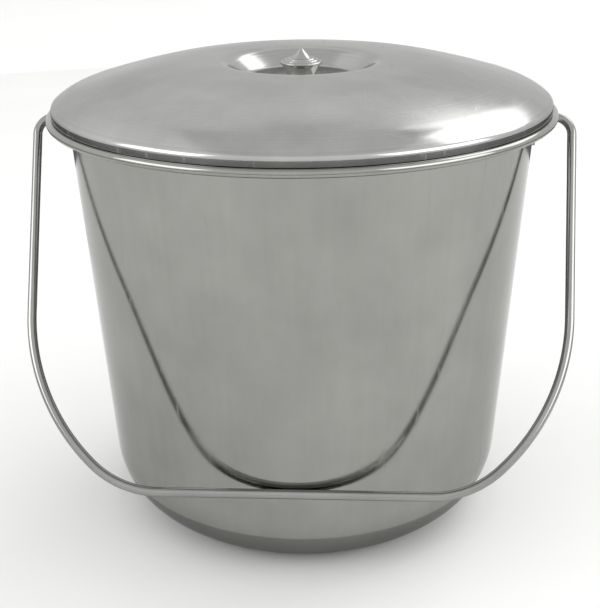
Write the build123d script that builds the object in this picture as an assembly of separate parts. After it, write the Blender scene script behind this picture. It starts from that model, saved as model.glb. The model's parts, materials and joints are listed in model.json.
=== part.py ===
from build123d import *
import os
from math import atan, cos, degrees, radians, sin, sqrt, tan

# Covered stainless steel commode pail with a swinging bail handle.
# Frame: base plane z = 0 on the pail axis, +Z up, bail pivots on the X axis, bail hangs to -Y.

# ---- pail -------------------------------------------------------------------
SHEET = 0.9                 # pail sheet thickness
WALL_R0 = 112.0             # outer wall radius carried down to the base plane
WALL_TAPER = 3.9            # wall leaning outward, degrees
CORNER_R = 42.0             # outer radius of the bottom corner
PANEL_R = 58.0              # radius of the shallow raised panel in the base
PANEL_RISE = 1.6            # rise of that panel
SWAGE_TURN = 20.0           # bends joining panel and base, degrees
RIM_TOP = 237.2             # top face of the flange and bead
BEAD_R = 140.0              # outer radius of the rolled bead
BEAD_TUBE = 2.2             # radius of the rolled bead section
BEAD_CURL = 285.0           # how far the sheet curls round the bead, degrees
FLANGE_BEND = 2.5           # bend radius between wall and flange

# ---- bail -------------------------------------------------------------------
ROD_D = 5.0                 # bail rod diameter
GAP = 0.3                   # air gap between parts that move against each other
PIN_PLAY = 0.1              # radial play of a pivot pin in its ear
BAIL_REACH = 208.5          # pivot axis to the centre line of the bail's grip
GRIP_HALF = 70.7            # half length of the straight grip
GRIP_CORNER_R = 53.0        # tighter bend next to the grip
GRIP_CORNER_ARC = 42.0      # degrees turned by that bend
SIDE_R = 116.0              # wide bend running into the legs
LEG_SPLAY = 2.4             # legs opening towards the pivots, degrees
PIVOT_BEND_R = 10.0         # bend from leg to pivot pin
BUTTON_D = 8.4              # upset head that keeps the pin in its ear
BUTTON_T = 2.0

# ---- ears -------------------------------------------------------------------
EAR_T = 1.5                 # ear strip thickness
EAR_TOP = 234.4             # top edge of the ear strip
EAR_H = 15.0                # height of the strip
EAR_FOOT_IN = 10.6          # where a foot starts, sideways from the pivot
EAR_FOOT_OUT = 22.0         # where it ends
EAR_BRIDGE_X = 133.4        # outer face of the raised bridge
EAR_FLAT_HALF = 5.2         # half width of the bridge flat
EAR_STEP_TURN = 50.0        # bends of the strip between foot and bridge, degrees
EAR_STEP_IN = 1.0           # outer face radius of the bend at a foot
EAR_STEP_OUT = 2.2          # outer face radius of the bend at the bridge
RIVET_Y = 16.6              # rivet positions sideways from the pivot
RIVET_D = 3.4
RIVET_HEAD_D = 7.0
RIVET_HEAD_T = 1.6
RIVET_TAIL_T = 1.0
RIVET_BED = 0.06            # set tails stand clear of the hollow of the wall by this

# ---- lid --------------------------------------------------------------------
LID_SHEET = 0.8
LID_R = 137.0               # outer radius of the lid skirt
SKIRT_H = 2.9               # straight part of the skirt
DISH_DEPTH = 8.8            # depth of the sunk dish round the knob
DISH_SLOPE = 36.0           # slope of the dish wall, degrees
DISH_LIP_R = 12.0
DISH_FOOT_R = 6.0
RING_R = 125.2              # outer radius of the locating ring under the lid
RING_T = 0.8
RING_LOW = 228.0            # lower edge of the locating ring
RING_FOOT = 5.0             # width of the ring's welded foot under the lid
WELD = 0.02                 # skin of weld between ring and lid

# ---- knob -------------------------------------------------------------------
KNOB_RIM_R = 11.7           # widest turned rim of the knob
KNOB_BASE_R = 7.8           # seat on the dish floor
KNOB_RIM_Z = 7.4            # rim height above the dish floor
KNOB_H = 14.9               # tip height above the dish floor
KNOB_STEP_R = 5.2           # foot of the pointed boss
KNOB_TIP_R = 1.2            # rounding of the boss's tip
SCREW_D = 5.0               # M5 screw
SCREW_IN = 8.5              # thread depth in the knob
SCREW_HEAD_D = 9.5
SCREW_HEAD_T = 3.0
WASHER_D = 15.0
WASHER_T = 1.0

# ---- derived ----------------------------------------------------------------
LEAN = tan(radians(WALL_TAPER))
PIN_TIP = EAR_BRIDGE_X - EAR_T - GAP
PIVOT_Z = RIM_TOP - 2 * BEAD_TUBE - GAP - ROD_D / 2
EAR_LOW = EAR_TOP - EAR_H
EAR_MID = EAR_TOP - EAR_H / 2


def wall_r(z):
    """Outer radius of the pail wall at height z."""
    return WALL_R0 + z * LEAN


def heading(angle):
    return Vector(cos(radians(angle)), sin(radians(angle)))


def track(start, way, moves, shift):
    """One face of a bent sheet: straights (length, 0) and bends (radius, degrees left)."""
    at = start + heading(way - 90) * shift
    edges = []
    for size, turn in moves:
        if turn:
            edges.append(JernArc(at, heading(way), size + (shift if turn > 0 else -shift), turn))
        else:
            edges.append(Line(at, at + heading(way) * size))
        at, way = edges[-1] @ 1, way + turn
    return edges


def sheet_section(start, way, moves, shift):
    """Cut edge of a bent sheet whose second face lies shift to the right of the first."""
    near = track(start, way, moves, 0)
    far = track(start, way, moves, shift)
    caps = [Line(near[0] @ 0, far[0] @ 0), Line(near[-1] @ 1, far[-1] @ 1)]
    return make_face(near + far + caps)


def spun(section):
    """Section drawn as radius and height, turned about the pail axis."""
    return revolve(Plane.XZ * section, axis=Axis.Z)


def pail_moves():
    """Inner face of the pail from the middle of the base to the end of the bead curl."""
    climb = 90 - WALL_TAPER
    corner = CORNER_R - SHEET
    inner = SHEET / cos(radians(WALL_TAPER))
    swage = PANEL_RISE / 2 / (1 - cos(radians(SWAGE_TURN)))
    low = SHEET + corner * (1 - cos(radians(climb)))
    high = RIM_TOP - FLANGE_BEND * (1 - cos(radians(climb)))
    foot_end = wall_r(low) - inner - corner * sin(radians(climb))
    foot_start = PANEL_R + 2 * swage * sin(radians(SWAGE_TURN))
    flange_start = wall_r(high) - inner + FLANGE_BEND * sin(radians(climb))
    return [
        (PANEL_R, 0), (swage, -SWAGE_TURN), (swage, SWAGE_TURN), (foot_end - foot_start, 0),
        (corner, climb), ((high - low) / cos(radians(WALL_TAPER)), 0),
        (FLANGE_BEND, -climb), (BEAD_R - BEAD_TUBE - flange_start, 0), (BEAD_TUBE, -BEAD_CURL),
    ]


def rivet_places(sign):
    """Rivet positions of one ear: planes on the wall face, looking straight out of it."""
    r = wall_r(EAR_MID)
    x = sqrt(r ** 2 - RIVET_Y ** 2)
    out_tilt = Vector(cos(radians(WALL_TAPER)), 0, -sin(radians(WALL_TAPER)))
    places = []
    for y in (-RIVET_Y, RIVET_Y):
        turn = degrees(atan(y / x))
        out = out_tilt.rotate(Axis.Z, turn)
        out = Vector(sign * out.X, out.Y, out.Z)
        places.append(Plane((sign * x, y, EAR_MID), z_dir=out))
    return places


def rivet_holes(sign):
    """Drillings through ear foot and pail wall for the rivets of one ear."""
    drill = Cylinder(RIVET_D / 2 + 0.05, 12)
    return [place * drill for place in rivet_places(sign)]


def pail_shell():
    centre = Vector(0, SHEET + PANEL_RISE)
    shell = spun(sheet_section(centre, 0, pail_moves(), SHEET))
    for sign in (-1, 1):
        for hole in rivet_holes(sign):
            shell -= hole
    return shell


def wall_band(low, high, inside, outside):
    """Ring between two faces parallel to the wall, given by their distance outside it."""
    outline = Polyline(
        (wall_r(low) + inside, low), (wall_r(low) + outside, low),
        (wall_r(high) + outside, high), (wall_r(high) + inside, high), close=True,
    )
    return spun(make_face(outline.edges()))


def ear_bridge():
    """Raised part of an ear strip: up from one foot, across the flat, down to the other."""
    seat = sqrt(wall_r(EAR_LOW) ** 2 - EAR_FOOT_IN ** 2) + EAR_T
    turn = radians(EAR_STEP_TURN)
    bends = EAR_STEP_IN + EAR_STEP_OUT
    slope = (EAR_BRIDGE_X - seat - bends * (1 - cos(turn))) / sin(turn)
    start_y = -EAR_FLAT_HALF - bends * sin(turn) - slope * cos(turn) - EAR_T
    up = [(EAR_STEP_IN, -EAR_STEP_TURN), (slope, 0), (EAR_STEP_OUT, EAR_STEP_TURN)]
    moves = [(EAR_T, 0)] + up + [(2 * EAR_FLAT_HALF, 0)] + up[::-1] + [(EAR_T, 0)]
    section = sheet_section(Vector(seat, start_y), 90, moves, -EAR_T)
    return extrude(Pos(0, 0, EAR_LOW) * section, EAR_H, dir=(0, 0, 1))


def ear(sign):
    """Bridge ear: two feet bedded on the wall and a raised flat holding the pivot pin."""
    foot = EAR_FOOT_OUT - EAR_FOOT_IN
    pads = [Pos(wall_r(EAR_MID), y * (EAR_FOOT_IN + foot / 2), 0) * RectangleRounded(30, foot, 1)
            for y in (-1, 1)]
    pads = extrude(Pos(0, 0, EAR_LOW) * Sketch(pads), EAR_H, dir=(0, 0, 1))
    feet = wall_band(EAR_LOW, EAR_TOP, 0, EAR_T) & pads
    body = feet + (ear_bridge() - wall_band(EAR_LOW - 1, EAR_TOP + 1, -10, 0))
    body -= Pos(EAR_BRIDGE_X, 0, PIVOT_Z) * Rot(0, 90, 0) * Cylinder(ROD_D / 2 + PIN_PLAY, 12)
    if sign < 0:
        body = mirror(body, Plane.YZ)
    for hole in rivet_holes(sign):
        body -= hole
    return body.solid()


def rivet(place):
    """Domed head outside, shank through ear foot and wall, set tail inside."""
    head, shank = RIVET_HEAD_D / 2, RIVET_D / 2
    bed = -SHEET - RIVET_BED
    tail = bed - RIVET_TAIL_T
    outline = Polyline((head, EAR_T), (shank, EAR_T), (shank, bed), (head - 0.5, bed),
                       (head - 0.9, tail), (0, tail), (0, EAR_T + RIVET_HEAD_T))
    dome = SagittaArc((head, EAR_T), (0, EAR_T + RIVET_HEAD_T), -0.75)
    return place * spun(make_face(outline.edges() + [dome]))


def ear_rivets(sign):
    return Compound([rivet(place).solid() for place in rivet_places(sign)])


def bail_lean():
    """Angle between the hanging bail and the vertical when its grip rests against the wall."""
    lean = 0.6
    for _ in range(30):
        z = PIVOT_Z - BAIL_REACH * cos(lean)
        clear = (ROD_D / 2 + GAP) / cos(radians(WALL_TAPER))
        lean = atan((wall_r(z) + clear) / (BAIL_REACH * cos(lean)))
    return degrees(lean)


def bail_path():
    """Centre line of the bail, drawn hanging straight down from the pivot axis."""
    side = 90 - LEG_SPLAY - GRIP_CORNER_ARC
    bends = [(GRIP_HALF, 0), (GRIP_CORNER_R, GRIP_CORNER_ARC), (SIDE_R, side)]
    half = track(Vector(0, -BAIL_REACH), 0, bends, 0)
    shoulder = half[-1] @ 1
    drop = PIVOT_BEND_R * (1 + sin(radians(LEG_SPLAY)))
    leg = (-drop - shoulder.Y) / cos(radians(LEG_SPLAY))
    half += track(shoulder, 90 - LEG_SPLAY, [(leg, 0), (PIVOT_BEND_R, 90 + LEG_SPLAY)], 0)
    half.append(Line(half[-1] @ 1, (PIN_TIP, 0)))
    return Wire(half + [mirror(edge, Plane.YZ).edge() for edge in half])


def bail_handle():
    """One bent rod, its inturned ends upset into heads behind the ears."""
    section = Plane((PIN_TIP, 0, 0), z_dir=(1, 0, 0)) * Circle(ROD_D / 2)
    rod = sweep(section, path=bail_path())
    for sign in (-1, 1):
        head = Cylinder(BUTTON_D / 2, BUTTON_T)
        head = chamfer(head.edges().filter_by(GeomType.CIRCLE), 0.4)
        rod += Pos(sign * (PIN_TIP - BUTTON_T / 2), 0, 0) * Rot(0, 90, 0) * head
    upright = Rot(90, 0, 0) * rod
    return (Pos(0, 0, PIVOT_Z) * Rot(-bail_lean(), 0, 0) * upright).solid()


def lid_moves():
    """Outer face of the lid from the skirt edge over the dome and down to the dish floor."""
    dome = [(SKIRT_H, 0), (3.5, 52.0), (35.0, 20.5), (430.0, 5.0), (120.0, 10.5), (600.0, 2.0)]
    turn = radians(DISH_SLOPE)
    fall = DISH_DEPTH - (DISH_LIP_R + DISH_FOOT_R) * (1 - cos(turn))
    return dome + [(DISH_LIP_R, DISH_SLOPE), (fall / sin(turn), 0), (DISH_FOOT_R, -DISH_SLOPE)]


def lid_start():
    return Vector(LID_R, RIM_TOP + GAP)


def dish_floor():
    """Height of the dish floor, where the knob stands."""
    return (track(lid_start(), 90, lid_moves(), 0)[-1] @ 1).Y


def lid_shell(floor):
    floor_r = (track(lid_start(), 90, lid_moves(), 0)[-1] @ 1).X
    shell = spun(sheet_section(lid_start(), 90, lid_moves() + [(floor_r, 0)], -LID_SHEET))
    return shell - Pos(0, 0, floor) * Cylinder(SCREW_D / 2 + 0.15, 6)


def lid_under(radius):
    """Height of the lid's underside at a radius, by halving along the face that holds it."""
    faces = track(lid_start(), 90, lid_moves(), -LID_SHEET)
    face = next(edge for edge in faces if (edge @ 1).X <= radius < (edge @ 0).X)
    outer, inner = 0.0, 1.0
    for _ in range(30):
        middle = (outer + inner) / 2
        if (face @ middle).X > radius:
            outer = middle
        else:
            inner = middle
    return (face @ inner).Y


def lid_locating_ring():
    """Plain hoop with an inturned foot welded under the dome, dropping inside the mouth."""
    bore = RING_R - RING_T
    top = lid_under(RING_R) - WELD
    crease = lid_under(bore) - WELD
    toe = lid_under(RING_R - RING_FOOT) - WELD
    outline = Polyline(
        (RING_R, RING_LOW + RING_T), (RING_R, top), (bore, crease), (RING_R - RING_FOOT, toe),
        (RING_R - RING_FOOT, toe - RING_T), (bore, crease - RING_T), (bore, RING_LOW + RING_T),
        (bore - RING_T, RING_LOW), (RING_R - RING_T, RING_LOW), close=True,
    )
    return spun(make_face(outline.edges())).solid()


def lid_knob(floor):
    """Turned knob: flared underside, ringed top and a pointed boss."""
    rim, ring_z = KNOB_RIM_R, KNOB_RIM_Z
    flare = Spline((KNOB_BASE_R, 0), (rim - 0.5, ring_z - 0.6), tangents=((0.2, 1), (1, 1)))
    lip = SagittaArc((rim - 0.5, ring_z - 0.6), (rim - 0.7, ring_z + 0.8), -0.6)
    ledge = Line(lip @ 1, (9.9, ring_z + 1.0))
    ring = SagittaArc(ledge @ 1, (8.2, ring_z + 1.6), -0.5)
    groove = Line(ring @ 1, (7.9, ring_z + 1.7))
    upper_ring = SagittaArc(groove @ 1, (6.2, ring_z + 2.3), -0.5)
    seat = Line(upper_ring @ 1, (KNOB_STEP_R, ring_z + 2.5))
    boss = Line(seat @ 1, (KNOB_TIP_R, KNOB_H - 0.5 * KNOB_TIP_R))
    tip = Spline(boss @ 1, (0, KNOB_H), tangents=(boss % 1, (-1, 0)))
    core = Polyline((0, KNOB_H), (0, 0), (KNOB_BASE_R, 0))
    top = [ledge, ring, groove, upper_ring, seat, boss, tip]
    knob = spun(make_face([flare, lip] + top + core.edges()))
    knob -= Cylinder(SCREW_D / 2, 2 * (SCREW_IN + 1))
    return (Pos(0, 0, floor) * knob).solid()


def knob_washer(floor):
    ring = Cylinder(WASHER_D / 2, WASHER_T) - Cylinder(SCREW_D / 2 + 0.15, WASHER_T)
    ring = chamfer(ring.edges().filter_by(GeomType.CIRCLE).sort_by(SortBy.RADIUS)[-2:], 0.2)
    return (Pos(0, 0, floor - LID_SHEET - WASHER_T / 2) * ring).solid()


def knob_screw(floor):
    """Pan head screw driven up through washer and lid into the knob."""
    seat = floor - LID_SHEET - WASHER_T
    head = Pos(0, 0, -SCREW_HEAD_T / 2) * Cylinder(SCREW_HEAD_D / 2, SCREW_HEAD_T)
    head = fillet(head.edges().filter_by(GeomType.CIRCLE).sort_by(Axis.Z)[0], 1.2)
    for turn in (0, 90):
        head -= Rot(0, 0, turn) * Pos(0, 0, -SCREW_HEAD_T) * Box(4.6, 0.9, 3.2)
    length = LID_SHEET + WASHER_T + SCREW_IN
    shank = Pos(0, 0, length / 2 - 0.5) * Cylinder(SCREW_D / 2 - 0.05, length + 1)
    return (Pos(0, 0, seat) * (head + shank)).solid()


def main():
    os.makedirs("parts", exist_ok=True)
    floor = dish_floor()
    nodes = {
        "pail_shell": pail_shell(),
        "left_ear": ear(-1),
        "right_ear": ear(1),
        "left_ear_rivets": ear_rivets(-1),
        "right_ear_rivets": ear_rivets(1),
        "bail_handle": bail_handle(),
        "lid_shell": lid_shell(floor),
        "lid_locating_ring": lid_locating_ring(),
        "lid_knob": lid_knob(floor),
        "knob_screw": knob_screw(floor),
        "knob_washer": knob_washer(floor),
    }
    for name, shape in nodes.items():
        shape.label = name
        export_step(shape, f"parts/{name}.step")
        box = shape.bounding_box()
        print(name, len(shape.solids()), round(shape.volume), [round(v, 2) for v in
              (box.min.X, box.max.X, box.min.Y, box.max.Y, box.min.Z, box.max.Z)])
    print("pivot", PIVOT_Z, "lean", bail_lean(), "floor", floor)


main()
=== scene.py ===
# %% [markdown]
# # A covered steel pail with a bail handle
# The object is a round, tapered stainless steel pail from a hospital ward. It has a rolled
# rim, a domed lid that lifts off by a turned knob, and one bent rod as its handle. The moving
# frame comes first. It fixes the outer sizes, so each visible piece is measured from it.

# %% Load the frame
import json
from math import asin, cos, pi, radians, sin, tan

import bpy
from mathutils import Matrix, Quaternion, Vector


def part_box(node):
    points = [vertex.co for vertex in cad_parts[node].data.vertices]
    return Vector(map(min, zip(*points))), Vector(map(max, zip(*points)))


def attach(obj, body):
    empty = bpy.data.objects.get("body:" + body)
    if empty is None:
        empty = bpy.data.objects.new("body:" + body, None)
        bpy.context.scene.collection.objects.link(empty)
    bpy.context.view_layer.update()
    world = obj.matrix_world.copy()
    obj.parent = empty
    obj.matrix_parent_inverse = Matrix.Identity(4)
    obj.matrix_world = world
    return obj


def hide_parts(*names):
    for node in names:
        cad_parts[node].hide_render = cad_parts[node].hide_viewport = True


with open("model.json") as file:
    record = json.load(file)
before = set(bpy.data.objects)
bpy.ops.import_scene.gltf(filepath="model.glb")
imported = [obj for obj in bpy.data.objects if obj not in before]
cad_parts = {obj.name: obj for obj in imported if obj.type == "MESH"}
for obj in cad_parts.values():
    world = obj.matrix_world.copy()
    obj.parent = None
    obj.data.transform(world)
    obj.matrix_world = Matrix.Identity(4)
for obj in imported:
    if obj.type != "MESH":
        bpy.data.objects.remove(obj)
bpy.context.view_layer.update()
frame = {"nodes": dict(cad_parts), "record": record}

# %% [markdown]
# ## Sizes
# Metal sheet keeps one thickness through every bend, so a few radii and angles describe the
# whole pail. The outer sizes are read from the frame. The bends are a pressing shop's usual
# ones for thin sheet. Millimetres are easier to think in, so `MM` turns them into metres.
# The turns of sheet and rod are in degrees.

# %% Sizes read from the frame
MM = 0.001
pail_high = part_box("pail_shell")[1]
lid_low, lid_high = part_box("lid_shell")
knob_low, knob_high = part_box("lid_knob")

BEAD_R = pail_high[0]
RIM_TOP = pail_high[2]
LID_R = lid_high[0]
print(f"rim {2000 * BEAD_R:.0f} mm across, {1000 * RIM_TOP:.0f} mm above the floor")

# %% Sizes of the sheet metal
SHEET = 0.9 * MM
WALL_R0 = 112 * MM
WALL_TAPER = 3.9
CORNER_R = 42 * MM
PANEL_R = 58 * MM
PANEL_RISE = 1.6 * MM
SWAGE_TURN = 20.0
BEAD_TUBE = 2.2 * MM
BEAD_CURL = 285.0
FLANGE_BEND = 2.5 * MM
ROUND_STEPS = 240
SMOOTH_UNDER = 35.0
print(f"sheet {SHEET / MM:.1f} mm, bead {2 * BEAD_TUBE / MM:.1f} mm thick")

# %% [markdown]
# ## Drawing a cut edge
# A spun or pressed sheet is the same all the way round, so its cut edge tells the whole
# shape. The edge is drawn as a walk: go straight for a length, or turn through an angle on a
# radius. Walking twice, once on each face, keeps the thickness true through the bends.

# %% A helper that walks along a bent sheet
BEND_STEP = 6.0
ARC_STEP = 4 * MM


def way_vector(angle):
    return Vector((cos(radians(angle)), 0, sin(radians(angle))))


def walk(start, way, moves, shift=0.0):
    """Points along one face. A move is (length, 0) or (radius, degrees to the left)."""
    at = start + way_vector(way - 90) * shift
    points = [at.copy()]
    for size, turn in moves:
        if not turn:
            at = at + way_vector(way) * size
            points.append(at.copy())
            continue
        radius = size + (shift if turn > 0 else -shift)
        side = 90 if turn > 0 else -90
        centre = at + way_vector(way + side) * radius
        arc = radius * radians(abs(turn))
        count = max(3, round(abs(turn) / BEND_STEP), round(arc / ARC_STEP))
        for i in range(1, count + 1):
            points.append(centre - way_vector(way + side + turn * i / count) * radius)
        at, way = points[-1].copy(), way + turn
    return points


def sheet_edge(start, way, moves, thickness):
    """Both faces of a sheet, there and back, with the second face to the right."""
    return walk(start, way, moves) + walk(start, way, moves, thickness)[::-1]

# %% [markdown]
# ## Turning an edge into metal
# A spinning lathe or a press gives a body of revolution. By hand in Blender that is a chain
# of extruded vertices followed by Spin. A stack of scaled rings would also do, but the chain
# keeps the profile in one readable place. Doubles at the seam and the poles are merged, then
# the normals are recalculated, because Spin can leave a shape inside out.

# %% Helpers for extruding and spinning
MERGE_WITHIN = 0.002 * MM


def deselect():
    if bpy.context.object and bpy.context.object.mode != "OBJECT":
        bpy.ops.object.mode_set(mode="OBJECT")
    bpy.ops.object.select_all(action="DESELECT")


def settle(piece):
    """Leave edit mode with the origin at zero and the place in the mesh."""
    bpy.ops.object.mode_set(mode="OBJECT")
    bpy.ops.object.transform_apply(location=True, rotation=True, scale=True)
    return piece


def close_mesh():
    bpy.ops.mesh.select_all(action="SELECT")
    bpy.ops.mesh.remove_doubles(threshold=MERGE_WITHIN)
    bpy.ops.mesh.normals_make_consistent(inside=False)


def draw_chain(name, points):
    """One vertex, extruded from point to point."""
    deselect()
    bpy.ops.mesh.primitive_plane_add(size=MM, location=points[0])
    piece = bpy.context.object
    piece.name = piece.data.name = name
    bpy.ops.object.transform_apply(location=True)
    bpy.ops.object.mode_set(mode="EDIT")
    bpy.ops.mesh.merge(type="CENTER")
    for before, after in zip(points, points[1:]):
        bpy.ops.mesh.extrude_region_move(TRANSFORM_OT_translate={"value": after - before})
    return piece


def spin_sheet(name, points, steps=ROUND_STEPS, sharp=SMOOTH_UNDER):
    """A chain spun round the upright axis into a closed piece, smooth but at sharp bends."""
    piece = draw_chain(name, points)
    bpy.ops.mesh.select_all(action="SELECT")
    bpy.ops.mesh.spin(steps=steps, angle=2 * pi, center=(0, 0, 0), axis=(0, 0, 1))
    close_mesh()
    settle(piece)
    bpy.ops.object.shade_smooth_by_angle(angle=radians(sharp))
    print(f"{name}: {len(points)} points, {len(piece.data.polygons)} faces")
    return piece

# %% [markdown]
# ## The pail
# The pail is drawn from one disc: a shallow panel in the base, a large bottom corner, a
# straight wall that leans out, a narrow flange and a bead rolled under it. The walk follows
# the inner face, starting in the middle of the base.

# %% Model the pail
def wall_r(z):
    """Outer radius of the wall at a height."""
    return WALL_R0 + z * tan(radians(WALL_TAPER))


def pail_moves():
    climb = 90 - WALL_TAPER
    corner = CORNER_R - SHEET
    inner = SHEET / cos(radians(WALL_TAPER))
    swage = PANEL_RISE / 2 / (1 - cos(radians(SWAGE_TURN)))
    low = SHEET + corner * (1 - cos(radians(climb)))
    high = RIM_TOP - FLANGE_BEND * (1 - cos(radians(climb)))
    foot_end = wall_r(low) - inner - corner * sin(radians(climb))
    foot_start = PANEL_R + 2 * swage * sin(radians(SWAGE_TURN))
    flange_start = wall_r(high) - inner + FLANGE_BEND * sin(radians(climb))
    return [
        (PANEL_R, 0), (swage, -SWAGE_TURN), (swage, SWAGE_TURN), (foot_end - foot_start, 0),
        (corner, climb), ((high - low) / cos(radians(WALL_TAPER)), 0),
        (FLANGE_BEND, -climb), (BEAD_R - BEAD_TUBE - flange_start, 0), (BEAD_TUBE, -BEAD_CURL),
    ]


pail_edge = sheet_edge(Vector((0, 0, SHEET + PANEL_RISE)), 0, pail_moves(), SHEET)
pail = spin_sheet("spun_pail", pail_edge)
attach(pail, "pail")
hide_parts("pail_shell")

# %% [markdown]
# ## The lid
# The lid is a spun dome. From its skirt a tight shoulder leads into a dome that flattens
# towards the middle, where a dish is sunk so that the knob barely stands proud. The walk
# follows the outer face from the skirt's edge inwards, so each bend turns to the left until
# the foot of the dish. Its last point is its first again, which closes the skirt's edge.

# %% Model the lid
LID_SHEET = 0.8 * MM
SKIRT_H = 2.9 * MM
SHOULDER_R, SHOULDER_TURN = 3.5 * MM, 52.0
DOME_ARCS = [(35 * MM, 20.5), (430 * MM, 5.0), (120 * MM, 10.5), (600 * MM, 2.0)]
DISH_DEPTH = 8.8 * MM
DISH_SLOPE = 36.0
DISH_LIP_R = 12 * MM
DISH_FOOT_R = 6 * MM
DISH_FLOOR = knob_low[2]


def lid_moves():
    dome = [(SKIRT_H, 0), (SHOULDER_R, SHOULDER_TURN)] + DOME_ARCS
    turn = radians(DISH_SLOPE)
    fall = DISH_DEPTH - (DISH_LIP_R + DISH_FOOT_R) * (1 - cos(turn))
    return dome + [(DISH_LIP_R, DISH_SLOPE), (fall / sin(turn), 0), (DISH_FOOT_R, -DISH_SLOPE)]


lid_start = Vector((LID_R, 0, lid_low[2]))
dish_floor_r = walk(lid_start, 90, lid_moves())[-1].x
lid_edge = sheet_edge(lid_start, 90, lid_moves() + [(dish_floor_r, 0)], -LID_SHEET)
lid = spin_sheet("spun_lid", lid_edge + [lid_start])
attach(lid, "lid")
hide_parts("lid_shell")

# %% [markdown]
# ## The locating ring
# Under the dome a plain hoop drops inside the mouth of the pail and keeps the lid central.
# It is only seen with the lid lifted. Its foot follows the dome and its lower edge is rolled
# inwards a little, so its section is a closed loop rather than a sheet walked twice.

# %% Model the locating ring
ring_low, ring_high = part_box("lid_locating_ring")
RING_T = 0.8 * MM
RING_FOOT = 5 * MM
RING_ROLL = 0.3 * MM
RING_SKIN = 0.05 * MM


def lid_under(radius):
    """Height of the lid's underside at a radius, between two points of its walk."""
    under = walk(lid_start, 90, lid_moves(), -LID_SHEET)
    for outer, inner in zip(under, under[1:]):
        if inner.x <= radius < outer.x:
            share = (outer.x - radius) / (outer.x - inner.x)
            return outer.z + share * (inner.z - outer.z)


def ring_section():
    out, bore, toe = ring_high[0], ring_high[0] - RING_T, ring_high[0] - RING_FOOT
    low = ring_low[2]
    return [Vector((r, 0, z)) for r, z in (
        (out, low + RING_T), (out, lid_under(out) - RING_SKIN),
        (bore, lid_under(bore) - RING_SKIN), (toe, lid_under(toe) - RING_SKIN),
        (toe, lid_under(toe) - RING_T), (bore, lid_under(bore) - RING_T),
        (bore, low + RING_T), (bore - RING_T, low + RING_ROLL), (bore - RING_T, low),
        (bore, low), (out, low + RING_T),
    )]


ring = spin_sheet("locating_ring", ring_section(), sharp=50.0)
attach(ring, "lid")
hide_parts("lid_locating_ring")

# %% [markdown]
# ## The knob
# The knob is turned from bar on a lathe: a flared underside for the fingertips, a thin rim,
# two raised rings on top and a pointed boss. Each stretch of the profile is one of two
# formulas, a pulled curve or a shallow bulge, between a few turned diameters. Heights are
# taken from the floor of the dish.

# %% Sizes of the knob
KNOB_BASE_R = 7.8 * MM
KNOB_RIM_R = knob_high[0]
KNOB_RIM_Z = 7.4 * MM
KNOB_H = knob_high[2] - DISH_FLOOR
FLARE_PULL = (8.6 * MM, 4.3 * MM)
OUTER_RING_R, INNER_RING_R = (9.9 * MM, 8.2 * MM), (7.9 * MM, 6.2 * MM)
KNOB_STEP_R = 5.2 * MM
KNOB_TIP_R = 1.2 * MM
RIM_BULGE, RING_BULGE = 0.6 * MM, 0.5 * MM
BULGE_STEPS = 7
SCREW_R = 2.5 * MM
SCREW_IN = 9.5 * MM
SCREW_POINT = 1.2 * MM
print(f"knob {2 * KNOB_RIM_R / MM:.1f} mm across and {KNOB_H / MM:.1f} mm tall")

# %% Curves for a turned profile
def pulled(start, pull, end, count):
    """Points after start on a curve that heads for pull and bends over to end."""
    start, pull, end = Vector(start), Vector(pull), Vector(end)
    steps = [i / count for i in range(1, count + 1)]
    return [start.lerp(pull, t).lerp(pull.lerp(end, t), t) for t in steps]


def bulged(start, end, rise):
    """Points after start on a shallow arc that stands proud of the straight line by rise."""
    start, end = Vector(start), Vector(end)
    along = (end - start).normalized()
    proud = Vector((along.y, -along.x))
    steps = [i / BULGE_STEPS for i in range(1, BULGE_STEPS + 1)]
    return [start.lerp(end, t) + proud * rise * 4 * t * (1 - t) for t in steps]

# %% Model the knob
def above_rim(height):
    """A height on the knob, given in millimetres above its rim."""
    return KNOB_RIM_Z + height * MM


def knob_section():
    """Up the screw hole, out along the base, then over the rim and both rings to the tip."""
    under = (KNOB_RIM_R - 0.5 * MM, above_rim(-0.6))
    lip = (KNOB_RIM_R - 0.7 * MM, above_rim(0.8))
    neck, tip = (KNOB_TIP_R, KNOB_H - 0.5 * KNOB_TIP_R), (0, KNOB_H)
    edge = [(0, SCREW_IN), (SCREW_R, SCREW_IN - SCREW_POINT), (SCREW_R, 0), (KNOB_BASE_R, 0)]
    edge += pulled(edge[-1], FLARE_PULL, under, count=12)
    edge += bulged(under, lip, RIM_BULGE)
    for (foot_r, top_r), foot, top in ((OUTER_RING_R, 1.0, 1.6), (INNER_RING_R, 1.7, 2.3)):
        edge += [(foot_r, above_rim(foot))]
        edge += bulged(edge[-1], (top_r, above_rim(top)), RING_BULGE)
    edge += [(KNOB_STEP_R, above_rim(2.5)), neck]
    edge += pulled(neck, (0.55 * KNOB_TIP_R, KNOB_H), tip, count=5)
    return [Vector((r, 0, DISH_FLOOR + z)) for r, z in edge]


knob = spin_sheet("turned_knob", knob_section(), steps=96, sharp=40.0)
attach(knob, "lid")
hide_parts("lid_knob")

# %% [markdown]
# ## The bail
# The handle is one 5 mm rod bent on a jig. It is made here as it is bent: a ring for the
# rod's section stands in the middle of the grip and is extruded along each straight, and each
# bend is a Spin about the jig's former. The second half is the mirror image. At rest the bail
# leans on the wall, so all of it is laid out in a tilted plane through the pivots.

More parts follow.
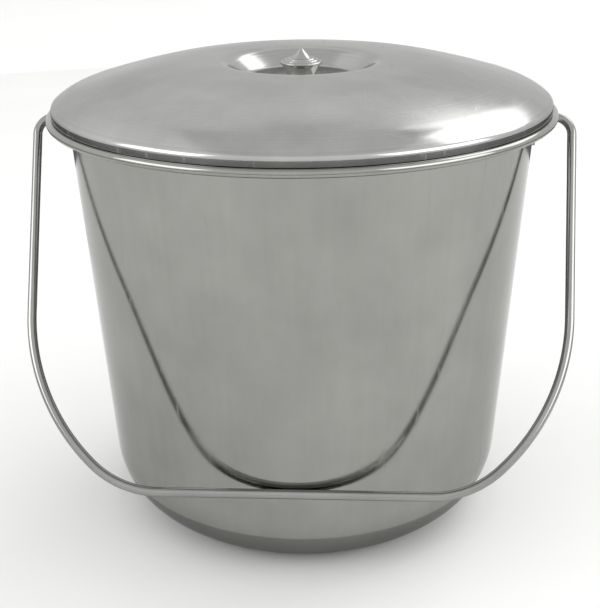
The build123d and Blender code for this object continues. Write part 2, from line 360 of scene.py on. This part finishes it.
# %% The plane that the bail hangs in
PIVOT = Vector(frame["record"]["behaviour"]["joints"][0]["pos_m"])
ROD_R = 2.5 * MM
BAIL_REACH = 208.5 * MM
GRIP_HALF = 70.7 * MM
GRIP_CORNER_R, GRIP_CORNER_ARC = 53 * MM, 42.0
SIDE_R = 116 * MM
LEG_SPLAY = 2.4
PIVOT_BEND_R = 10 * MM
PIN_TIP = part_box("right_ear")[1][0] - 1.8 * MM
HEAD_R, HEAD_T, HEAD_CHAMFER = 4.2 * MM, 2.0 * MM, 0.4 * MM
bail_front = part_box("bail_handle")[0][1]
lean = asin(-(bail_front + ROD_R) / BAIL_REACH)
DOWN = Vector((0, -sin(lean), -cos(lean)))
OUT = Vector((1, 0, 0))
BAIL_AXIS = OUT.cross(-DOWN)


def on_plane(x, reach):
    """A point of the bail's plane: across, and down from the pivots."""
    return PIVOT + OUT * x + DOWN * reach


print(f"the bail leans {lean * 180 / pi:.1f} degrees from the vertical")

# %% Helpers for bending the rod
BEND_STEPS_PER_DEGREE = 0.9


def push(way, length):
    bpy.ops.mesh.extrude_region_move(TRANSFORM_OT_translate={"value": way * length})


def widen(factor):
    bpy.ops.transform.resize(value=(1, factor, factor))


def bend(at, way, radius, degrees):
    """Spin the open ring about a former on the inner side; gives the new place and way."""
    inward = BAIL_AXIS.cross(way)
    centre = at + inward * radius
    steps = max(8, round(degrees * BEND_STEPS_PER_DEGREE))
    bpy.ops.mesh.spin(steps=steps, angle=radians(degrees), center=centre, axis=-BAIL_AXIS)
    turn = Quaternion(BAIL_AXIS, radians(degrees))
    return centre + turn @ (at - centre), turn @ way

# %% Model the bail
def bail_half():
    """From the middle of the grip round to the pin, which is left open in edit mode."""
    deselect()
    at, way = on_plane(0, BAIL_REACH), OUT
    bpy.ops.mesh.primitive_circle_add(vertices=32, radius=ROD_R, location=at,
                                      rotation=(0, pi / 2, 0))
    piece = bpy.context.object
    bpy.ops.object.transform_apply(location=True, rotation=True)
    bpy.ops.object.mode_set(mode="EDIT")
    push(way, GRIP_HALF)
    at = at + way * GRIP_HALF
    at, way = bend(at, way, GRIP_CORNER_R, GRIP_CORNER_ARC)
    at, way = bend(at, way, SIDE_R, 90 - LEG_SPLAY - GRIP_CORNER_ARC)
    reach = (at - PIVOT).dot(DOWN) - PIVOT_BEND_R * (1 + sin(radians(LEG_SPLAY)))
    leg = reach / cos(radians(LEG_SPLAY))
    push(way, leg)
    at, way = bend(at + way * leg, way, PIVOT_BEND_R, 90 + LEG_SPLAY)
    push(way, at.x - PIN_TIP)
    return piece


def bail_head():
    """Upset head: the ring is widened, drawn on and closed."""
    face_r = HEAD_R - HEAD_CHAMFER
    push(-OUT, 0)
    widen(face_r / ROD_R)
    push(-OUT, HEAD_CHAMFER)
    widen(HEAD_R / face_r)
    push(-OUT, HEAD_T - 2 * HEAD_CHAMFER)
    push(-OUT, HEAD_CHAMFER)
    widen(face_r / HEAD_R)
    bpy.ops.mesh.edge_face_add()


bail = bail_half()
bail_head()
settle(bail)
bail.name = bail.data.name = "bent_bail"
mirror = bail.modifiers.new("Mirror", "MIRROR")
mirror.merge_threshold = 0.01 * MM
bpy.ops.object.modifier_apply(modifier="Mirror")
bpy.ops.object.mode_set(mode="EDIT")
close_mesh()
settle(bail)
bpy.ops.object.shade_smooth_by_angle(angle=radians(40))
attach(bail, "bail")
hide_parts("bail_handle")
print("bent_bail:", len(bail.data.polygons), "faces")

# %% [markdown]
# ## Steel finishes
# All of it is stainless steel, but each piece is finished differently. The wall is drawn and
# polished up and down, so it has faint upright streaks. The lid is spun, so its lines are
# rings. The rod and knob are bright, and the inside is left satin. One function builds the
# common graph: a pattern, fine scratches and cloudy handling marks, feeding colour,
# roughness and bump.

# %% A graph helper
NOISE_ROUGH = 0.55


class Graph:
    """Small wrapper that adds and links nodes of one material."""

    def __init__(self, name):
        self.material = bpy.data.materials.new(name)
        self.material.use_nodes = True
        self.nodes = self.material.node_tree.nodes
        self.links = self.material.node_tree.links
        self.shader = self.nodes["Principled BSDF"]

    def add(self, kind, **values):
        node = self.nodes.new(kind)
        for key, value in values.items():
            setattr(node, key, value)
        return node

    def link(self, source, target):
        self.links.new(source, target)

    def object_point(self):
        return self.add("ShaderNodeTexCoord").outputs["Object"]

    def stretched(self, scale, turn=(0, 0, 0)):
        """Object coordinates turned and scaled per axis, so noise turns into streaks."""
        node = self.add("ShaderNodeMapping")
        node.inputs["Scale"].default_value = scale
        node.inputs["Rotation"].default_value = turn
        self.link(self.object_point(), node.inputs["Vector"])
        return node.outputs["Vector"]

    def noise(self, vector, scale=1.0, detail=4.0):
        node = self.add("ShaderNodeTexNoise")
        node.inputs["Scale"].default_value = scale
        node.inputs["Detail"].default_value = detail
        node.inputs["Roughness"].default_value = NOISE_ROUGH
        self.link(vector, node.inputs["Vector"])
        return node.outputs["Fac"]

    def rings(self, per_metre, detail=3.0):
        """Noise that depends only on the distance from the upright axis."""
        flat = self.add("ShaderNodeVectorMath", operation="MULTIPLY")
        flat.inputs[1].default_value = (1, 1, 0)
        self.link(self.object_point(), flat.inputs[0])
        length = self.add("ShaderNodeVectorMath", operation="LENGTH")
        self.link(flat.outputs["Vector"], length.inputs[0])
        node = self.add("ShaderNodeTexNoise", noise_dimensions="1D")
        node.inputs["Scale"].default_value = per_metre
        node.inputs["Detail"].default_value = detail
        self.link(length.outputs["Value"], node.inputs["W"])
        return node.outputs["Fac"]

    def spread(self, value, low, high, start=0.3, end=0.7):
        """Map start to low and end to high. Noise seldom leaves 0.3 to 0.7."""
        node = self.add("ShaderNodeMapRange")
        for name, number in (("From Min", start), ("From Max", end), ("To Min", low),
                             ("To Max", high)):
            node.inputs[name].default_value = number
        self.link(value, node.inputs["Value"])
        return node.outputs["Result"]

    def height(self):
        node = self.add("ShaderNodeSeparateXYZ")
        self.link(self.object_point(), node.inputs["Vector"])
        return node.outputs["Z"]

    def sum_or_product(self, operation, first, second):
        node = self.add("ShaderNodeMath", operation=operation)
        self.link(first, node.inputs[0])
        self.link(second, node.inputs[1])
        return node.outputs["Value"]

    def plus(self, first, second):
        return self.sum_or_product("ADD", first, second)

    def times(self, first, second):
        return self.sum_or_product("MULTIPLY", first, second)

    def mixed(self, share, dark, light):
        node = self.add("ShaderNodeMix", data_type="RGBA")
        node.inputs["A"].default_value = (*dark, 1)
        node.inputs["B"].default_value = (*light, 1)
        self.link(share, node.inputs["Factor"])
        return node.outputs["Result"]

    def bumped(self, height, strength, depth, under=None):
        """A bump laid on the shading normal, or on another bump below it."""
        node = self.add("ShaderNodeBump")
        node.inputs["Strength"].default_value = strength
        node.inputs["Distance"].default_value = depth
        self.link(height, node.inputs["Height"])
        if under:
            self.link(under, node.inputs["Normal"])
        return node.outputs["Normal"]

# %% Patterns that the finishes share
CRESTS = (0.66, 0.72)
BROAD_CRESTS = (0.54, 0.68)
FULL_RANGE = (0.0, 1.0)


def upright_streaks(graph):
    return graph.noise(graph.stretched((260, 260, 4)), detail=6.0)


def spun_rings(graph):
    return graph.rings(900.0)


def fine_scratches(graph):
    return graph.noise(graph.stretched((900, 900, 900)), detail=3.0)


def hairlines(graph):
    """Sparse thin scratches: the narrow crests of noise drawn out two ways."""
    one = graph.noise(graph.stretched((40, 420, 30), (0.3, 0.2, 0.9)), detail=2.0)
    two = graph.noise(graph.stretched((380, 30, 50), (0.8, 0.1, 0.4)), detail=2.0)
    return graph.plus(graph.spread(one, 0.0, 1.0, *CRESTS), graph.spread(two, 0.0, 1.0, *CRESTS))

# %% The steel function
GRAIN_DEPTH = 0.02 * MM
GRAIN_SHARE, CLOUD_SHARE = 0.25, 0.75
SMUDGE_ROUGH, HAIRLINE_ROUGH, RUBBED_ROUGH = 0.07, 0.1, (0.05, 0.3)
HAIRLINE_CUT = -0.6


def steel(name, dark, light, rough, pattern, strength, waves, worn=None, edge=0.62, bare=1.0):
    """Bare metal. pattern(graph) gives the grain and strength its bump, rough is (lowest,
    highest), waves is how far hand work left the sheet uneven, in millimetres, worn is the
    two heights between which rubbing fades out, edge dulls the glancing reflections, and
    bare is how much of the look is mirror rather than matt."""
    graph = Graph(name)
    grain = pattern(graph)
    marks = hairlines(graph)
    clouds = graph.noise(graph.object_point(), scale=28.0, detail=5.0)
    smudges = graph.noise(graph.object_point(), scale=13.0, detail=2.0)
    shader = graph.shader.inputs
    shader["Metallic"].default_value = bare
    shader["Specular Tint"].default_value = (edge, edge, edge, 1)
    shade = graph.plus(graph.spread(clouds, 0.0, CLOUD_SHARE),
                       graph.spread(grain, 0.0, GRAIN_SHARE))
    graph.link(graph.mixed(shade, dark, light), shader["Base Color"])
    middle = (rough[0] + rough[1]) / 2
    shine = graph.plus(graph.spread(grain, rough[0] / 2, middle / 2),
                       graph.spread(clouds, rough[0] / 2, middle / 2))
    shine = graph.plus(shine, graph.spread(smudges, 0.0, SMUDGE_ROUGH, *BROAD_CRESTS))
    shine = graph.plus(shine, graph.spread(marks, 0.0, HAIRLINE_ROUGH, *FULL_RANGE))
    if worn:
        rubbed = graph.times(graph.spread(graph.height(), 1.0, 0.0, *worn),
                             graph.spread(grain, *RUBBED_ROUGH))
        shine = graph.plus(shine, rubbed)
    graph.link(shine, shader["Roughness"])
    uneven = graph.noise(graph.object_point(), scale=11.0, detail=1.0)
    normal = graph.bumped(uneven, 1.0, waves * MM)
    fine = graph.plus(grain, graph.spread(marks, 0.0, HAIRLINE_CUT, *FULL_RANGE))
    graph.link(graph.bumped(fine, strength, GRAIN_DEPTH, normal), shader["Normal"])
    return graph.material

# %% [markdown]
# Six finishes come from the one function. The wall, lid and rod are darker than fresh steel,
# because the bright room would wash them out. The satin inside scatters light, so that the
# hollow of the pail isn't black.

# %% Mix the six finishes
pail_steel = steel(
    "polished_wall_steel", dark=(0.27, 0.275, 0.258), light=(0.33, 0.335, 0.315),
    rough=(0.08, 0.2), pattern=upright_streaks, strength=0.06, waves=0.25,
    worn=(1 * MM, 12 * MM), edge=0.8)
lid_steel = steel(
    "spun_lid_steel", dark=(0.365, 0.365, 0.358), light=(0.465, 0.465, 0.455),
    rough=(0.13, 0.26), pattern=spun_rings, strength=0.04, waves=0.35)
bright_steel = steel(
    "bright_rod_steel", dark=(0.27, 0.27, 0.266), light=(0.34, 0.34, 0.333),
    rough=(0.05, 0.14), pattern=fine_scratches, strength=0.03, waves=0.0)
satin_steel = steel(
    "satin_inner_steel", dark=(0.56, 0.56, 0.545), light=(0.64, 0.64, 0.625),
    rough=(0.26, 0.42), pattern=upright_streaks, strength=0.08, waves=0.15, edge=0.9,
    bare=0.85)
turned_steel = steel(
    "turned_knob_steel", dark=(0.38, 0.38, 0.37), light=(0.46, 0.46, 0.45),
    rough=(0.1, 0.2), pattern=spun_rings, strength=0.12, waves=0.0)
plain_steel = steel(
    "plain_fastener_steel", dark=(0.34, 0.34, 0.33), light=(0.42, 0.42, 0.41),
    rough=(0.2, 0.36), pattern=fine_scratches, strength=0.1, waves=0.0)

# %% Put the finishes on the pieces
HOLLOW_MIDDLE = Vector((0, 0, 0.6 * RIM_TOP))


def finish(piece, material):
    piece.data.materials.clear()
    piece.data.materials.append(material)


def finish_inside(piece, outside, inside):
    """Two finishes: faces that look towards a point in the hollow get the inside one."""
    finish(piece, outside)
    piece.data.materials.append(inside)
    for face in piece.data.polygons:
        face.material_index = int(face.normal.dot(HOLLOW_MIDDLE - face.center) > 0)


finish_inside(pail, pail_steel, satin_steel)
finish_inside(lid, lid_steel, satin_steel)
finish(ring, plain_steel)
finish(knob, turned_steel)
finish(bail, bright_steel)
for name in ("left_ear", "right_ear", "left_ear_rivets", "right_ear_rivets", "knob_screw",
             "knob_washer"):
    for slot in frame["nodes"][name].material_slots:
        slot.material = plain_steel
print("finishes:", [m.name for m in bpy.data.materials if m.users])

# %% [markdown]
# ## The studio
# Bare metal shows only what stands around it, so the room matters as much as the metal. The
# pail stands on a pale floor in an even, bright room. Soft boxes stand to the left, to the
# right and behind: they draw the bright lines on the shoulder and the glow on the lid. A
# duller ceiling calms the top of the dome. A dark ring far out on the floor gives the skirt
# its dark band. One close in is a painted contact shadow round the foot, which darkens the
# bottom corner in reflection. Ceiling and rings show only in reflections, so they shade nothing.

# %% Floor and room
FLOOR_HALF = 40
ROOM_LIGHT = 1.1
deselect()
bpy.ops.mesh.primitive_grid_add(x_subdivisions=8, y_subdivisions=8, size=2 * FLOOR_HALF,
                                location=(0, 0, -0.2 * MM))
floor = bpy.context.object
floor.name = "studio_floor"
bpy.ops.object.transform_apply(location=True)
pale = Graph("pale_floor")
pale_clouds = pale.spread(pale.noise(pale.object_point(), scale=3.0), 0.0, 1.0)
pale.link(pale.mixed(pale_clouds, (0.72, 0.72, 0.715), (0.75, 0.75, 0.745)),
          pale.shader.inputs["Base Color"])
pale.shader.inputs["Roughness"].default_value = 0.7
finish(floor, pale.material)

world = bpy.data.worlds.new("bright_room")
bpy.context.scene.world = world
world.use_nodes = True
room = world.node_tree.nodes["Background"].inputs
room["Color"].default_value = (1.0, 1.0, 0.995, 1)
room["Strength"].default_value = ROOM_LIGHT
print("stage:", floor.name, "in", world.name)

# %% Soft boxes
MIDDLE = Vector((0, 0, 0.22))


def toward(round_deg, up_deg):
    """Direction from the pail: degrees round from the front to the right, and up."""
    flat = cos(radians(up_deg))
    return Vector((sin(radians(round_deg)) * flat, -cos(radians(round_deg)) * flat,
                   sin(radians(up_deg))))


def soft_box(name, round_deg, up_deg, far, wide, tall, glow):
    """A soft box that faces the pail, as bright as glow times a white wall."""
    deselect()
    bpy.ops.object.light_add(type="AREA", location=MIDDLE + toward(round_deg, up_deg) * far)
    lamp = bpy.context.object
    lamp.name = name
    lamp.data.shape = "RECTANGLE"
    lamp.data.size, lamp.data.size_y = wide, tall
    lamp.data.energy = glow * pi * wide * tall
    lamp.rotation_euler = (MIDDLE - lamp.location).to_track_quat("-Z", "Y").to_euler()
    lamp.visible_camera = False
    return lamp


boxes = [
    soft_box("back_box", round_deg=136, up_deg=41, far=3.4, wide=2.6, tall=1.9, glow=2.2),
    soft_box("left_box", round_deg=-62, up_deg=24, far=2.8, wide=2.0, tall=1.5, glow=2.4),
    soft_box("right_box", round_deg=66, up_deg=24, far=2.8, wide=2.6, tall=1.4, glow=2.4),
]
print("soft boxes:", [box.name for box in boxes])

# %% Dull ceiling
CEILING_AT = (0, 0.1, 1.45)
CEILING_WIDE, CEILING_DEEP = 1.1, 2.0
CEILING_GLOW = 0.7 * ROOM_LIGHT


def reflected_only(piece):
    """Shown by the steel, but not seen itself and casting no light or shadow."""
    piece.visible_camera = piece.visible_diffuse = piece.visible_shadow = False
    return piece


deselect()
bpy.ops.mesh.primitive_plane_add(size=1, location=CEILING_AT)
ceiling = bpy.context.object
ceiling.name = "dull_ceiling"
bpy.ops.transform.resize(value=(CEILING_WIDE, CEILING_DEEP, 1))
bpy.ops.object.transform_apply(location=True, scale=True)
card = Graph("dull_card")
card.shader.inputs["Base Color"].default_value = (0.02, 0.02, 0.02, 1)
card.shader.inputs["Emission Color"].default_value = (1, 1, 0.99, 1)
card.shader.inputs["Emission Strength"].default_value = CEILING_GLOW
finish(ceiling, card.material)
reflected_only(ceiling)
print("ceiling:", ceiling.name)

# %% Dark rings on the floor
def floor_ring(name, inner, outer, shade):
    """A flat dark ring just above the floor."""
    deselect()
    bpy.ops.mesh.primitive_circle_add(vertices=128, radius=inner, location=(0, 0, -0.1 * MM))
    piece = bpy.context.object
    piece.name = name
    bpy.ops.object.mode_set(mode="EDIT")
    bpy.ops.mesh.extrude_region()
    bpy.ops.transform.resize(value=(outer / inner, outer / inner, 1))
    settle(piece)
    graph = Graph(name + "_dark_card")
    graph.shader.inputs["Base Color"].default_value = (shade, shade, shade, 1)
    graph.shader.inputs["Roughness"].default_value = 0.9
    finish(piece, graph.material)
    return reflected_only(piece)


rings = [
    floor_ring("far_ring", inner=0.8, outer=1.5, shade=0.07),
    # The near ring is a painted contact shadow round the foot of the pail. The steel reflects it
    # as the dark band along the bottom corner.
    floor_ring("painted_contact_shadow", inner=0.07, outer=0.119, shade=0.45),
]
print("floor rings:", [piece.name for piece in rings])

# %% [markdown]
# ## Camera
# The camera stands a few degrees round to the right and looks down on the lid.

# %% Camera
CAMERA_FAR = 0.6353
CAMERA_HIGH = 0.3718
CAMERA_ROUND = radians(3.2)
CAMERA_ROLL = -0.013
CAMERA_AIM = Vector((-0.0024, 0, 0.1173))
CAMERA_LENS = 68.1
camera_data = bpy.data.cameras.new("camera")
camera = bpy.data.objects.new("camera", camera_data)
bpy.context.collection.objects.link(camera)
camera_data.lens = CAMERA_LENS
camera_data.clip_start = 0.01
camera.location = (CAMERA_FAR * sin(CAMERA_ROUND), -CAMERA_FAR * cos(CAMERA_ROUND),
                   CAMERA_HIGH)
camera.rotation_mode = "QUATERNION"
sight = (CAMERA_AIM - camera.location).to_track_quat("-Z", "Y")
camera.rotation_quaternion = sight @ Quaternion((0, 0, 1), CAMERA_ROLL)
bpy.context.scene.camera = camera
bpy.context.scene.view_settings.view_transform = "Standard"
print(f"camera: {CAMERA_LENS} mm lens, {(CAMERA_AIM - camera.location).length:.2f} m away")
